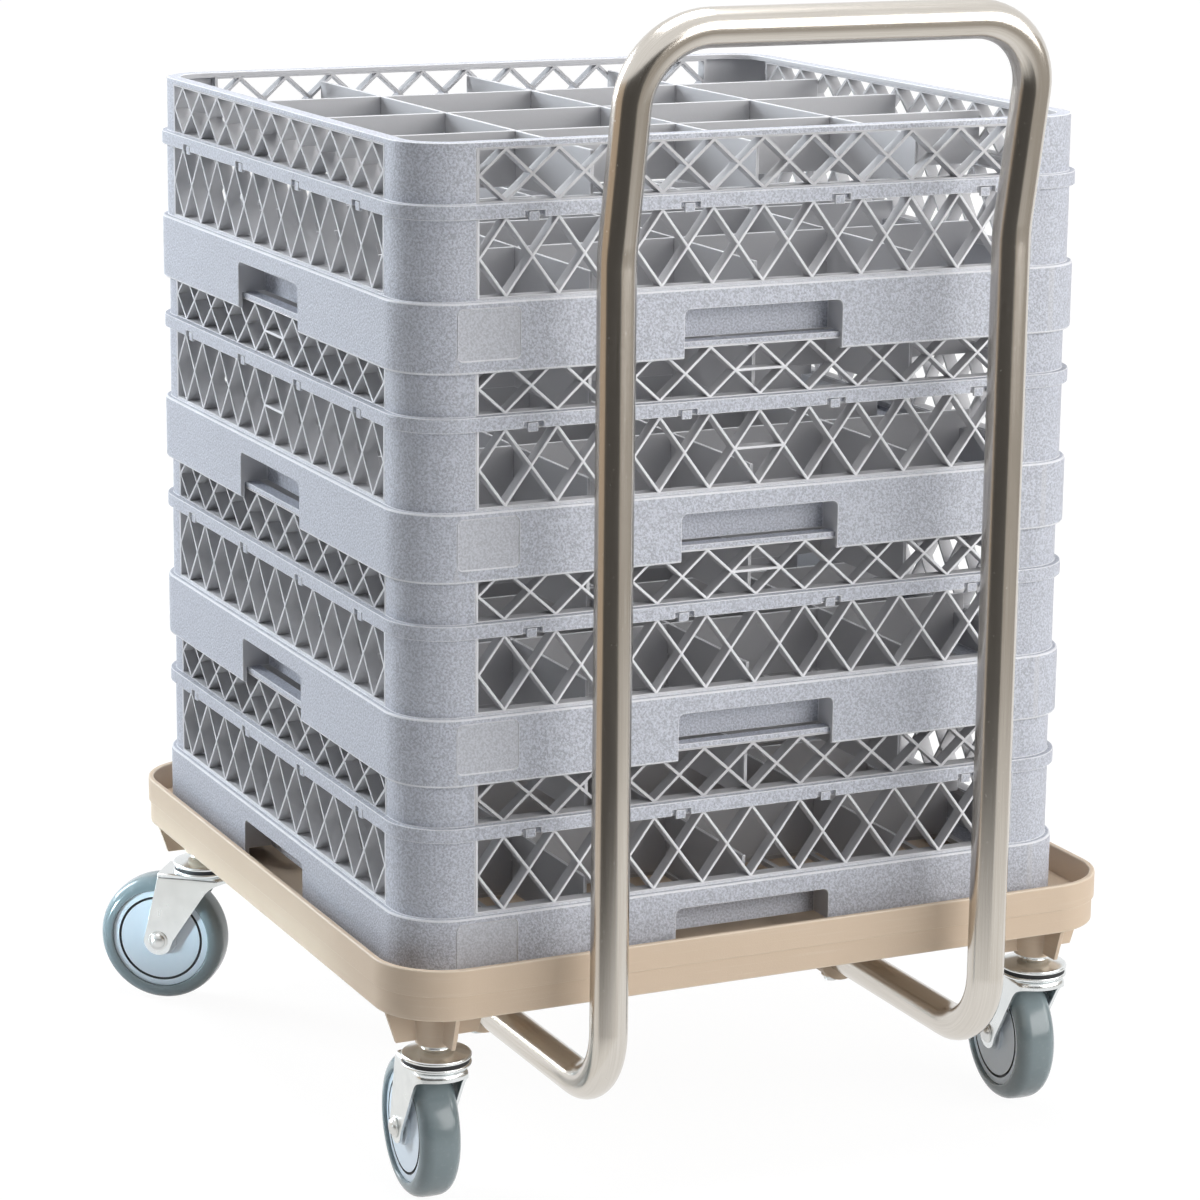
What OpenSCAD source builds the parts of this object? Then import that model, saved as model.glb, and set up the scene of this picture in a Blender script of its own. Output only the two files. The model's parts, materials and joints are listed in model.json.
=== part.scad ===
// Glass rack dolly: a moulded tray on four swivel casters with a bent tube push handle,
// carrying a stack of square glass racks that lift off one after the other.
// Millimetres, +Z up. The origin is on the floor under the middle of the tray; the handle is on -Y.

/* [Tray] */
// gap between the racks and the inside of the tray, with the stack in the middle
tray_play = 17; // [10:0.5:40]
// corner radius of the tray
tray_r = 48; // [35:1:70]
// how far the tray's lower edge stands above the casters' caps
tray_rise = 27; // [12:0.5:45]
// height of the tray's side from its lower edge to its rim
tray_h = 35; // [30:1:60]
// thickness of the tray's side
tray_wall = 4; // [3:0.5:6]
// height of the lower half of the side, under the parting line
tray_step_h = 17; // [10:1:20]
// how far the lower half stands behind the upper half
tray_step = 1.5; // [0.5:0.25:2.5]
// thickness of the deck
deck_t = 5; // [3:0.5:8]
// how far the rim stands above the deck
deck_drop = 19.5; // [10:0.5:22]
// height of the stiffening ribs under the deck
rib_h = 9; // [5:0.5:10]
// thickness of the ribs and gussets
rib_t = 3; // [2:0.5:5]
// distance of the long ribs from the middle
rib_off = 84; // [60:1:100]

/* [Caster] */
// wheel diameter
wheel_d = 98; // [92:1:104]
// tyre width
wheel_w = 28; // [24:1:34]
// thickness of the tyre on the wheel core
tyre_t = 11; // [8.5:0.5:14]
// edge radius of the tyre
tyre_r = 8; // [3:0.5:10]
// diameter of the ring groove in the face of the core
groove_d = 63; // [48:1:66]
// hub diameter of the core
hub_d = 26; // [22:1:36]
// distance of the swivel axis from the tray's outer sides
caster_inset = 42.5; // [38:0.5:70]
// trail of the axle behind the swivel axis
trail = 32; // [25:1:40]
// gap between the top of the wheel and the fork's crown
crown_gap = 2.5; // [2:0.5:20]
// gap between the tyre and the fork's legs
fork_gap = 1.75; // [1.5:0.25:6]
// thickness of the fork's sheet
fork_t = 2.5; // [2:0.5:5]
// radius of the rounded leg end about the axle
fork_end_r = 11.5; // [9:0.5:18]
// how far the front of the crown reaches down
apron_h = 4; // [2:0.5:8]
// radius of the arch between the front of the crown and the legs
arch_r = 20; // [8:1:26]
// lean of the legs' leading edges in degrees
leg_lean = 33.5; // [25:0.5:38]
// diameter of the cap and the flange of the swivel
cap_d = 47; // [38:1:60]
// diameter of the swivel pin
pin_d = 12; // [8:1:16]
// diameter of the axle bolt
axle_d = 8; // [6:1:12]
// turn of each caster about its swivel: front left, front right, rear left, rear right
caster_turn = [-4, -5, 53, 20]; // [-180:1:180]

/* [Handle] */
// distance between the handle's legs, centre to centre
handle_span = 282; // [240:1:300]
// tube diameter
tube_d = 25; // [20:1:28]
// tube wall
tube_wall = 1.5; // [1:0.25:3]
// distance from the tray's front side to the middle of the legs
leg_gap = 36.5; // [30:0.5:60]
// radius of the tube's bends
bend_r = 48; // [35:1:60]
// floor to the middle of the tube under the tray
run_z = 91; // [86:1:110]
// floor to the kink where the legs start to lean outward
kink_z = 635; // [560:1:660]
// radius of the kink
kink_r = 90; // [50:1:120]
// lean of the upper part of the handle in degrees
lean = 11; // [5:1:20]
// straight length of the handle between the kink and the shoulder
upper_len = 85.3; // [50:0.1:140]
// outer diameter of the moulded tube sockets
socket_d = 38; // [34:1:46]
// length of the tube sockets
socket_len = 72; // [50:1:90]
// distance of the socket's mouth behind the tray's front side
socket_in = 159; // [150:1:190]

/* [Rack] */
// outer width and depth of a rack
rack_w = 500; // [460:1:505]
// corner radius of a rack
rack_r = 40; // [25:1:50]
// wall thickness of a rack
skin = 3.2; // [2.5:0.1:4]
// height of the solid band at the foot of a rack
band_h = 45.5; // [42:0.5:60]
// how far the band stands proud of the wall above it
band_proud = 3.8; // [3.6:0.1:5]
// height of the plain sill over the band
sill_h = 2.3; // [1.5:0.1:5]
// height of the tall lattice
tall_h = 48.9; // [40:0.1:70]
// height of the plain rails between the two lattices
rail_h = 11.1; // [9:0.1:16]
// height of the short lattice
short_h = 32.4; // [25:0.1:45]
// height of the rim over the short lattice
rim_h = 4.8; // [3.5:0.1:8]
// how far one rack sinks over the rim of the rack below
nest = 10.7; // [6:0.1:14]
// how far the stack stands off the middle of the tray along X
rack_off_x = -6; // [-10:0.5:10]
// how far the stack stands off the middle of the tray along Y
rack_off_y = 2; // [-10:0.5:10]
// number of diamonds in a lattice
diamonds = 11; // [9:2:11]
// width of the plain corner posts, from the rack's side to the lattice
post_w = 48.35; // [45:0.05:60]
// thickness of the lattice ribs
lat_t = 1.9; // [1.4:0.1:3]
// depth of the lattice ribs and the rails
lat_depth = 10; // [6:0.5:14]
// width of the hand hold
hold_w = 115; // [90:1:130]
// height of the hand hold above the foot of the band
hold_h = 32.3; // [25:0.1:36]
// corner radius of the hand hold
hold_r = 4; // [2:0.5:8]
// depth of the hand hold's pocket
hold_depth = 20; // [19:0.5:30]
// compartments along each side of a rack
compartments = 4; // [2:1:6]
// thickness of the dividers
div_t = 2.4; // [1.6:0.1:4]
// height of the upper dividers
div_h = 37; // [25:1:40]
// how far the upper dividers stay under the rim
div_drop = 9; // [5.5:0.5:20]
// how far the lower dividers rise over the band
low_rise = 13.5; // [8:0.5:24]
// openings along each side of the floor grid
floor_cells = 12; // [6:1:16]
// width of the bars of the floor grid
floor_bar = 4; // [3:0.5:6]
// thickness of the floor grid and the ledge around it
floor_t = 4; // [3:0.5:6]
// width of the plain panel on the band
panel_w = 43; // [30:1:50]
// height of the plain panel on the band
panel_h = 33; // [20:1:34]

/* [Hidden] */
$fn = 64;

// one overrun for every cut, and the clearances
over = 1;
run_clear = 0.05;
slip_clear = 0.1;
seat_clear = 0.3;

// caster, from the wheel up
axle_z = wheel_d / 2;
core_d = wheel_d - 2 * tyre_t;
fork_in = wheel_w + 2 * fork_gap;
crown_z = wheel_d + crown_gap;
crown_h = 2.4;
flange_z = crown_z + crown_h;
flange_h = 2.5;
ring_h = 2.3;
cap_z = flange_z + flange_h + ring_h + seat_clear;
cap_edge_h = 2.6;
cap_cone_h = 3.4;
neck_h = 4;
neck_d = 19;
cap_h = cap_edge_h + cap_cone_h;
caster_h = cap_z + cap_h + neck_h;
crown_front = cap_d / 2;
crown_back = trail;
crown_half = fork_in / 2 + fork_t;
apron_z = crown_z - apron_h;
fork_foot = axle_z - fork_end_r;
ring_d = cap_d - fork_t;
ring_in_d = 26;
cap_top_d = 24;
pin_head_d = 20;
pin_head_h = 2.5;
pin_foot = crown_z - seat_clear - pin_head_h;
bolt_head_d = 12;
bolt_head_h = 3;
nut_d = 14.4;
nut_h = 5.5;
washer_d = 15;
washer_h = 1;
hub_gap = 1.5;
hub_w = fork_in - 2 * hub_gap;
bush_gap = 0.5;
bush_w = fork_in - 2 * bush_gap;
bush_d = 14;
core_inset = 2;
core_w = wheel_w - 2 * core_inset;
groove_w = 1.6;
groove_depth = 1.5;

// tray
rack_half = rack_w / 2;
tray_in = rack_half + tray_play;
tray_half = tray_in + tray_wall;
tray_z = caster_h + tray_rise;
rim_z = tray_z + tray_h;
step_z = tray_z + tray_step_h;
deck_z = rim_z - deck_drop;
deck_under = deck_z - deck_t;
caster_at = tray_half - caster_inset;
corners = [[-1, -1], [1, -1], [-1, 1], [1, 1]];
boss_d = 28;
boss_top_d = 36;
pin_top = deck_under;
gusset_up = 3;
gusset_z = caster_h + gusset_up;
gusset_end = caster_inset - tray_wall - rib_t / 2;
gusset_slope = 8;

// handle
tube_r = tube_d / 2;
leg_x = handle_span / 2;
leg_y = -tray_half - leg_gap;
mouth_y = -tray_half + socket_in;
socket_end = 6;
run_end = mouth_y + socket_len - socket_end;
web_w = 24;
bend_z = run_z + bend_r;
kink_end_y = leg_y - kink_r * (1 - cos(lean));
kink_end_z = kink_z + kink_r * sin(lean);
screw_d = 5;
screw_head_d = 10;
screw_head_h = 3.5;
screw_pad_d = 14;
screw_pad = 1.5;
screw_edge = 18;
screw_y = [mouth_y + screw_edge, run_end - screw_edge];
pad_z = run_z - socket_d / 2 - screw_pad;

// rack, from its foot up
wall_half = rack_half - band_proud;
wall_r = rack_r - band_proud;
tall_z = band_h + sill_h;
tall_top = tall_z + tall_h;
short_z = tall_top + rail_h;
short_top = short_z + short_h;
rack_h = short_top + rim_h;
rack_pitch = rack_h - nest;
seam_share = 0.66;
base_h = tall_top + seam_share * rail_h;
lip_share = 0.05;
lip_z = tall_top + lip_share * rail_h;
lip_clear = 0.3;
lip_half = rack_half - lip_clear;
lip_r = rack_r - lip_clear;
ext_inset = 0.6;
ext_half = wall_half - ext_inset;
ext_r = wall_r - ext_inset;
shelf_t = short_z - base_h;
lat_edge = 1.1;
lat_end = 2;
win_half = rack_half - post_w;
lat_half = win_half - lat_end;
diamond_w = 2 * lat_half / diamonds;
rail_in = wall_half - lat_depth;
ext_in = ext_half - lat_depth;
pocket_wall = 2.5;
ledge_w = hold_depth + pocket_wall;
floor_half = rack_half - ledge_w;
pocket_back = rack_half - hold_depth;
panel_rim = 4;
panel_in = 34;
panel_x = -rack_half + panel_in;
panel_z = band_h - panel_h - panel_rim;
panel_r = 4;
panel_depth = 0.6;
clip_at = [-4.5, -1.5, 1.5, 4.5];
clip_w = 14;
clip_h = 4.2;
tab_w = 7;
tab_h = 3;
tab_proud = 2.6;
tab_clear = 0.3;
tab_z = tall_top + lat_edge;
div_z = rack_h - div_drop - div_h;
strip_clear = 0.3;
foot_half = floor_half - strip_clear;
low_z = nest + floor_t + strip_clear;
low_h = band_h + low_rise - low_z;
div_at = [for (i = [1:compartments - 1]) -ext_in + 2 * ext_in * i / compartments];
slot_clear = 0.2;
// sides of each rack whose middle diamonds have a tie bar, tall and short lattices
tie_tall = ["none", "none", "all", "none"];
tie_short = ["none", "front", "all", "none"];

// whether the given side, counted from the front, has tie bars
function tied(sides, side) = sides == "all" || (sides == "front" && side == 0);

// a square with rounded corners
module rounded_sq(half, r) {
  square([2 * half, 2 * (half - r)], center = true);
  square([2 * (half - r), 2 * half], center = true);
  for (c = corners)
    translate([c[0] * (half - r), c[1] * (half - r)])
      circle(r);
}

// a rounded square block between two heights
module block(half, r, z0, z1) {
  translate([0, 0, z0])
    linear_extrude(z1 - z0)
      rounded_sq(half, r);
}

// a rounded square ring between two heights
module ring(half, r, half_in, z0, z1) {
  translate([0, 0, z0])
    linear_extrude(z1 - z0)
      difference() {
        rounded_sq(half, r);
        rounded_sq(half_in, r - half + half_in);
      }
}

// repeats its children on the four sides
module four_sides() {
  for (a = [0:3])
    rotate([0, 0, 90 * a])
      children();
}

// side of the tray around the deck, stepped back under the parting line
module tray_rim() {
  color([0.80, 0.71, 0.58]) {
    ring(tray_half, tray_r, tray_in, step_z, rim_z);
    ring(tray_half - tray_step, tray_r - tray_step, tray_in, tray_z, step_z);
  }
}

// deck of the tray with its ribs, caster bosses, gussets and the two tube sockets
module base_tray() {
  color([0.80, 0.71, 0.58])
    difference() {
      union() {
        block(tray_in, tray_r - tray_wall, deck_under, deck_z);
        for (s = [-1, 1]) {
          deck_rib([0, s * rib_off], 0);
          deck_rib([s * rib_off, 0], 90);
          tube_socket(s * leg_x);
        }
        for (c = corners)
          translate([c[0] * caster_at, c[1] * caster_at, 0])
            caster_boss();
      }
      for (c = corners)
        translate([c[0] * caster_at, c[1] * caster_at, caster_h - over])
          cylinder(d = pin_d + 2 * slip_clear, h = pin_top - caster_h + over);
      for (s = [-1, 1]) {
        translate([s * leg_x, mouth_y - over, run_z])
          rotate([-90, 0, 0])
            cylinder(d = tube_d + 2 * slip_clear, h = run_end - mouth_y + over);
        screw_holes(s * leg_x);
      }
    }
}

// one rib across the underside of the deck
module deck_rib(at, turn) {
  translate([at[0], at[1], deck_under - rib_h / 2])
    rotate([0, 0, turn])
      cube([2 * tray_in, rib_t, rib_h], center = true);
}

// tapered boss with crossed gussets
module caster_boss() {
  translate([0, 0, caster_h])
    cylinder(d1 = boss_d, d2 = boss_top_d, h = deck_under - caster_h);
  for (a = [0, 90])
    rotate([90, 0, a])
      translate([0, 0, -rib_t / 2])
        linear_extrude(rib_t)
          gusset_outline();
}

// upright outline of a pair of gussets, their outer ends sloped up to the tray's side
module gusset_outline() {
  polygon([
    [-gusset_end, deck_under],
    [-gusset_end, tray_z],
    [gusset_slope - gusset_end, gusset_z],
    [gusset_end - gusset_slope, gusset_z],
    [gusset_end, tray_z],
    [gusset_end, deck_under]
  ]);
}

// socket for one end of the handle's tube, hung under the deck
module tube_socket(x) {
  translate([x, mouth_y, run_z])
    rotate([-90, 0, 0])
      cylinder(d = socket_d, h = socket_len);
  translate([x - web_w / 2, mouth_y, run_z])
    cube([web_w, socket_len, deck_under - run_z]);
  for (y = screw_y)
    translate([x, y, pad_z])
      cylinder(d = screw_pad_d, h = run_z - pad_z);
}

// holes for the screws that hold one end of the tube
module screw_holes(x) {
  for (y = screw_y)
    translate([x, y, pad_z - over])
      cylinder(d = screw_d + 2 * slip_clear, h = run_z - pad_z + over);
}

// cross section of the handle's tube
module tube_section() {
  difference() {
    circle(tube_r);
    circle(tube_r - tube_wall);
  }
}

// a bend of the tube about Z, from +X on
module tube_bend(r, turn) {
  rotate_extrude(angle = turn)
    translate([r, 0])
      tube_section();
}

// the left leg: its run under the tray, the lower bend, the upright and the kink
module left_leg() {
  translate([-leg_x, 0, 0]) {
    translate([0, leg_y + bend_r, run_z])
      rotate([-90, 0, 0])
        linear_extrude(run_end - leg_y - bend_r)
          tube_section();
    translate([0, leg_y + bend_r, bend_z])
      rotate([-90, 0, 0])
        rotate([0, 90, 0])
          tube_bend(bend_r, 90);
    translate([0, leg_y, bend_z])
      linear_extrude(kink_z - bend_z)
        tube_section();
    translate([0, leg_y - kink_r, kink_z])
      rotate([90, 0, 90])
        tube_bend(kink_r, lean);
  }
}

// two bent legs, drilled for the screws of the sockets
module handle_legs() {
  color([0.76, 0.75, 0.72])
    difference() {
      union() {
        left_leg();
        mirror([1, 0, 0])
          left_leg();
      }
      for (s = [-1, 1])
        screw_holes(s * leg_x);
    }
}

// the left shoulder of the bow, drawn from the start of its bend
module left_shoulder() {
  translate([-leg_x, 0, -upper_len])
    linear_extrude(upper_len)
      tube_section();
  translate([bend_r - leg_x, 0, 0])
    rotate([90, 0, 0])
      rotate([0, 0, 90])
        tube_bend(bend_r, 90);
}

// leaning bow on top of the legs: two shoulders and the bar that is held
module handle_bow() {
  color([0.76, 0.75, 0.72])
    translate([0, kink_end_y, kink_end_z])
      rotate([lean, 0, 0])
        translate([0, 0, upper_len]) {
          left_shoulder();
          mirror([1, 0, 0])
            left_shoulder();
          translate([bend_r - leg_x, 0, bend_r])
            rotate([0, 90, 0])
              linear_extrude(2 * (leg_x - bend_r))
                tube_section();
        }
}

// screws through the sockets into the tube
module handle_screws() {
  color([0.62, 0.63, 0.64])
    for (s = [-1, 1], y = screw_y)
      translate([s * leg_x, y, 0]) {
        translate([0, 0, pad_z - screw_head_h])
          cylinder(d = screw_head_d, h = screw_head_h);
        translate([0, 0, pad_z])
          cylinder(d = screw_d, h = run_z - pad_z - tube_r / 2);
      }
}

// swivel pins with their caps, fixed in the bosses
module caster_stems() {
  color([0.80, 0.80, 0.79])
    for (c = corners)
      translate([c[0] * caster_at, c[1] * caster_at, 0]) {
        translate([0, 0, pin_foot])
          cylinder(d = pin_d, h = pin_top - pin_foot);
        translate([0, 0, pin_foot])
          cylinder(d = pin_head_d, h = pin_head_h);
        translate([0, 0, cap_z])
          cylinder(d = cap_d, h = cap_edge_h);
        translate([0, 0, cap_z + cap_edge_h])
          cylinder(d1 = cap_d, d2 = cap_top_d, h = cap_cone_h);
        translate([0, 0, cap_z + cap_h])
          cylinder(d = neck_d, h = neck_h);
      }
}

// puts a caster's piece under its boss, turned about the swivel
module at_caster(i) {
  translate([corners[i][0] * caster_at, corners[i][1] * caster_at, 0])
    rotate([0, 0, caster_turn[i]])
      children();
}

// puts a wheel's piece, drawn about Z, on the axle of its caster
module at_axle(i) {
  at_caster(i)
    translate([0, trail, axle_z])
      rotate([0, 90, 0])
        children();
}

// the fork from the side: front of the crown, arch, leading edge, leg end and trailing edge
module leg_outline() {
  lead = [sin(leg_lean), -cos(leg_lean)];
  foot = [trail - fork_end_r, axle_z];
  corner = [foot[0] - (apron_z - axle_z) * tan(leg_lean), apron_z];
  reach = arch_r * tan((90 - leg_lean) / 2);
  arch_start = corner - [reach, 0];
  difference() {
    polygon([
      [-crown_front, flange_z],
      [crown_back, flange_z],
      [trail + fork_end_r, axle_z],
      foot,
      corner + reach * lead,
      arch_start,
      [-crown_front, apron_z]
    ]);
    translate(arch_start - [0, arch_r])
      circle(arch_r);
  }
  translate([trail, axle_z])
    circle(fork_end_r);
}

// the fork from above: a round front between two straight sides
module fork_plan(r, half, back) {
  intersection() {
    circle(r);
    translate([-half, -r])
      square([2 * half, r]);
  }
  translate([-half, 0])
    square([2 * half, back]);
}

// the fork's bent sheet before its sides are trimmed
module fork_sheet() {
  back = trail + fork_end_r + over;
  translate([0, 0, fork_foot])
    linear_extrude(flange_z - fork_foot)
      difference() {
        fork_plan(crown_front, crown_half, back);
        fork_plan(crown_front - fork_t, fork_in / 2, back + over);
      }
}

// pressed fork with its flange
module fork(i) {
  color([0.83, 0.84, 0.84])
    at_caster(i)
      difference() {
        union() {
          translate([0, 0, flange_z])
            cylinder(d = cap_d, h = flange_h);
          translate([0, 0, crown_z])
            linear_extrude(crown_h)
              fork_plan(crown_front, crown_half, crown_back);
          intersection() {
            fork_sheet();
            translate([-crown_half, 0, 0])
              rotate([90, 0, 90])
                linear_extrude(2 * crown_half)
                  leg_outline();
          }
        }
        translate([0, 0, crown_z - over])
          cylinder(d = pin_d + 2 * run_clear, h = crown_h + flange_h + 2 * over);
        translate([-crown_half - over, trail, axle_z])
          rotate([0, 90, 0])
            cylinder(d = axle_d + 2 * run_clear, h = 2 * (crown_half + over));
      }
}

// dark ring between the flange and the cap
module swivel_ring(i) {
  color([0.08, 0.08, 0.09])
    at_caster(i)
      translate([0, 0, flange_z + flange_h])
        difference() {
          cylinder(d = ring_d, h = ring_h);
          translate([0, 0, -over])
            cylinder(d = ring_in_d, h = ring_h + 2 * over);
        }
}

// axle bolt with its washer and rounded head
module axle_bolt(i) {
  color([0.80, 0.80, 0.79])
    at_axle(i) {
      translate([0, 0, -crown_half])
        cylinder(d = axle_d, h = 2 * crown_half + nut_h);
      translate([0, 0, -crown_half - washer_h])
        cylinder(d = washer_d, h = washer_h);
      translate([0, 0, -crown_half - washer_h - bolt_head_h])
        cylinder(d1 = axle_d, d2 = bolt_head_d, h = bolt_head_h);
    }
}

// hexagon nut on the other end of the axle bolt
module axle_nut(i) {
  color([0.78, 0.78, 0.77])
    at_axle(i)
      translate([0, 0, crown_half])
        difference() {
          cylinder(d = nut_d, h = nut_h, $fn = 6);
          translate([0, 0, -over])
            cylinder(d = axle_d + 2 * run_clear, h = nut_h + 2 * over);
        }
}

// wheel core with its hub and a ring groove in both faces
module wheel_core(i) {
  color([0.66, 0.69, 0.73])
    at_axle(i)
      difference() {
        union() {
          cylinder(d = core_d, h = core_w, center = true);
          cylinder(d = hub_d, h = hub_w, center = true);
        }
        cylinder(d = bush_d, h = hub_w + 2 * over, center = true);
        for (s = [-1, 1])
          translate([0, 0, s * core_w / 2])
            difference() {
              cylinder(d = groove_d + 2 * groove_w, h = 2 * groove_depth, center = true);
              cylinder(d = groove_d, h = 2 * groove_depth + 2 * over, center = true);
            }
      }
}

// tyre with rounded edges
module tyre(i) {
  color([0.45, 0.50, 0.56])
    at_axle(i)
      difference() {
        union() {
          cylinder(d = wheel_d, h = wheel_w - 2 * tyre_r, center = true);
          cylinder(d = wheel_d - 2 * tyre_r, h = wheel_w, center = true);
          for (s = [-1, 1])
            translate([0, 0, s * (wheel_w / 2 - tyre_r)])
              rotate_extrude()
                translate([wheel_d / 2 - tyre_r, 0])
                  circle(tyre_r);
        }
        cylinder(d = core_d, h = wheel_w + 2 * over, center = true);
      }
}

// plain bush that runs on the axle bolt
module hub_bush(i) {
  color([0.30, 0.31, 0.33])
    at_axle(i)
      difference() {
        cylinder(d = bush_d, h = bush_w, center = true);
        cylinder(d = axle_d + 2 * run_clear, h = bush_w + 2 * over, center = true);
      }
}

// puts a rack's piece at its place in the stack, counted from the deck
module at_rack(n) {
  translate([rack_off_x, rack_off_y, deck_z + n * rack_pitch])
    children();
}

// colour of the racks
module rack_color() {
  color([0.71, 0.73, 0.78])
    children();
}

// upright outline of a hand hold, with rounded upper corners
module hold_outline(w, h, r) {
  translate([-w / 2, -over])
    square([w, h - r + over]);
  translate([-w / 2 + r, -over])
    square([w - 2 * r, h + over]);
  for (s = [-1, 1])
    translate([s * (w / 2 - r), h - r])
      circle(r);
}

// plain panel with rounded corners, sunk into the front of the band
module plain_panel(x, z, w, h, r) {
  translate([x + r, z])
    square([w - 2 * r, h]);
  translate([x, z + r])
    square([w, h - 2 * r]);
  for (sx = [r, w - r], sz = [r, h - r])
    translate([x + sx, z + sz])
      circle(r);
}

// lower moulding of a rack: band, ledge, sill, corner posts and top rail
module base_frame() {
  difference() {
    union() {
      ring(rack_half, rack_r, rack_half - skin, 0, band_h);
      ring(rack_half, rack_r, rail_in, band_h - skin, band_h);
      ring(rack_half, rack_r, floor_half, nest, nest + floor_t);
      ring(wall_half, wall_r, rail_in, band_h - skin, tall_z - lat_edge);
      ring(wall_half, wall_r, wall_half - skin, band_h - skin, base_h);
      ring(wall_half, wall_r, rail_in, tall_top + lat_edge, base_h);
      four_sides()
        translate([-hold_w / 2 - pocket_wall, -rack_half + skin / 2, nest])
          cube([
            hold_w + 2 * pocket_wall,
            hold_depth - skin / 2 + pocket_wall,
            hold_h + pocket_wall - nest
          ]);
    }
    for (a = [0, 90])
      rotate([0, 0, a])
        translate([-win_half, -rack_half - over, tall_z - lat_edge])
          cube([2 * win_half, 2 * (rack_half + over), tall_h + 2 * lat_edge]);
    four_sides()
      translate([0, -pocket_back, 0])
        rotate([90, 0, 0])
          linear_extrude(hold_depth + over)
            hold_outline(hold_w, hold_h, hold_r);
    translate([0, -rack_half + panel_depth, 0])
      rotate([90, 0, 0])
        linear_extrude(panel_depth + over)
          plain_panel(panel_x, panel_z, panel_w, panel_h, panel_r);
  }
}

// one clip tab on the front of the top rail, its lower end hanging free before the lattice
module clip_tab(x) {
  translate([x - tab_w / 2, -wall_half - tab_proud, tab_z])
    cube([tab_w, tab_proud + skin / 2, tab_h]);
  translate([x - tab_w / 2, -wall_half - tab_proud, tab_z - tab_h])
    cube([tab_w, tab_proud - tab_clear, 2 * tab_h]);
}

// lower moulding with its clip tabs
module rack_base(n) {
  rack_color()
    at_rack(n) {
      base_frame();
      four_sides()
        for (k = clip_at)
          clip_tab(k * diamond_w);
    }
}

// upper moulding of a rack: lip over the base, shelf, corner posts and rim
module rack_extender(n) {
  rack_color()
    at_rack(n)
      difference() {
        union() {
          ring(lip_half, lip_r, wall_half + lip_clear, lip_z, base_h + shelf_t / 2);
          ring(lip_half, lip_r, ext_in, base_h, short_z - lat_edge);
          ring(ext_half, ext_r, ext_half - skin, base_h, rack_h);
          ring(ext_half, ext_r, ext_in, short_top + lat_edge, rack_h);
        }
        for (a = [0, 90])
          rotate([0, 0, a])
            translate([-win_half, -rack_half - over, short_z - lat_edge])
              cube([2 * win_half, 2 * (rack_half + over), short_h + 2 * lat_edge]);
        four_sides()
          for (k = clip_at)
            translate([k * diamond_w - clip_w / 2, -lip_half - over, lip_z - over])
              cube([clip_w, lip_half - wall_half - lip_clear + over, clip_h + over]);
      }
}

// upright outline of one lattice: a bordered sheet with the diamonds and half diamonds cut out
module lattice_outline(h, tie_bar) {
  slope = atan2(h, diamond_w);
  dx = lat_t / (2 * sin(slope));
  dz = lat_t / (2 * cos(slope));
  half_w = diamond_w / 2;
  last = (diamonds - 1) / 2;
  difference() {
    translate([-win_half, -lat_edge])
      square([2 * win_half, h + 2 * lat_edge]);
    for (i = [-last:last])
      translate([i * diamond_w, 0])
        difference() {
          polygon([[0, h - dz], [half_w - dx, h / 2], [0, dz], [dx - half_w, h / 2]]);
          if (tie_bar && i == 0)
            translate([-half_w, (h - lat_t) / 2])
              square([diamond_w, lat_t]);
        }
    for (i = [-last:last - 1])
      translate([(i + 1 / 2) * diamond_w, 0]) {
        polygon([[dx - half_w, h], [half_w - dx, h], [0, h / 2 + dz]]);
        polygon([[dx - half_w, 0], [half_w - dx, 0], [0, h / 2 - dz]]);
      }
    for (s = [-1, 1])
      translate([s * lat_half, 0]) {
        polygon([[0, h], [s * (dx - half_w), h], [0, h / 2 + dz]]);
        polygon([[0, 0], [s * (dx - half_w), 0], [0, h / 2 - dz]]);
      }
  }
}

// stands an outline up on the front side of a rack, its outer face at the given distance
module on_front(dist, z) {
  translate([0, -dist + lat_depth, z])
    rotate([90, 0, 0])
      linear_extrude(lat_depth)
        children();
}

// the eight lattices of a rack, some with a tie bar across the middle diamond
module rack_lattice(n) {
  rack_color()
    at_rack(n)
      for (a = [0:3])
        rotate([0, 0, 90 * a]) {
          on_front(wall_half, tall_z)
            lattice_outline(tall_h, tied(tie_tall[n], a));
          on_front(ext_half, short_z)
            lattice_outline(short_h, tied(tie_short[n], a));
        }
}

// open floor grid inside the ledge
module rack_floor(n) {
  step = (2 * floor_half - floor_bar) / floor_cells;
  rack_color()
    at_rack(n)
      translate([0, 0, nest])
        linear_extrude(floor_t)
          difference() {
            rounded_sq(floor_half, rack_r - ledge_w);
            for (i = [0:floor_cells - 1], j = [0:floor_cells - 1])
              if (!((i == 0 || i == floor_cells - 1) && (j == 0 || j == floor_cells - 1)))
                translate([-floor_half + floor_bar + i * step, -floor_half + floor_bar + j * step])
                  square(step - floor_bar);
          }
}

// a plain strip along X between two heights
module strip(half, z, h) {
  translate([-half, -div_t / 2, z])
    cube([2 * half, div_t, h]);
}

// half-lap slots in a strip where the crossing strips pass, in its upper or its lower half
module lap_slots(z, h, from_top) {
  slot_z = from_top ? z + h / 2 - slot_clear : z - over;
  slot_h = h / 2 + over + (from_top ? slot_clear : 0);
  for (x = div_at)
    translate([x - div_t / 2 - slot_clear, -div_t / 2 - over, slot_z])
      cube([div_t + 2 * slot_clear, div_t + 2 * over, slot_h]);
}

// the upper and the lower strips along X, the foot of each lower strip between the hand holds' pockets
module dividers(from_top) {
  for (y = div_at)
    translate([0, y, 0]) {
      difference() {
        strip(ext_in, div_z, div_h);
        lap_slots(div_z, div_h, from_top);
      }
      difference() {
        union() {
          strip(foot_half, low_z, low_h);
          strip(ext_in, band_h, low_rise);
        }
        lap_slots(low_z, low_h, from_top);
      }
    }
}

// dividers along X, slotted from above
module rack_cross_dividers(n) {
  rack_color()
    at_rack(n)
      dividers(true);
}

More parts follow.
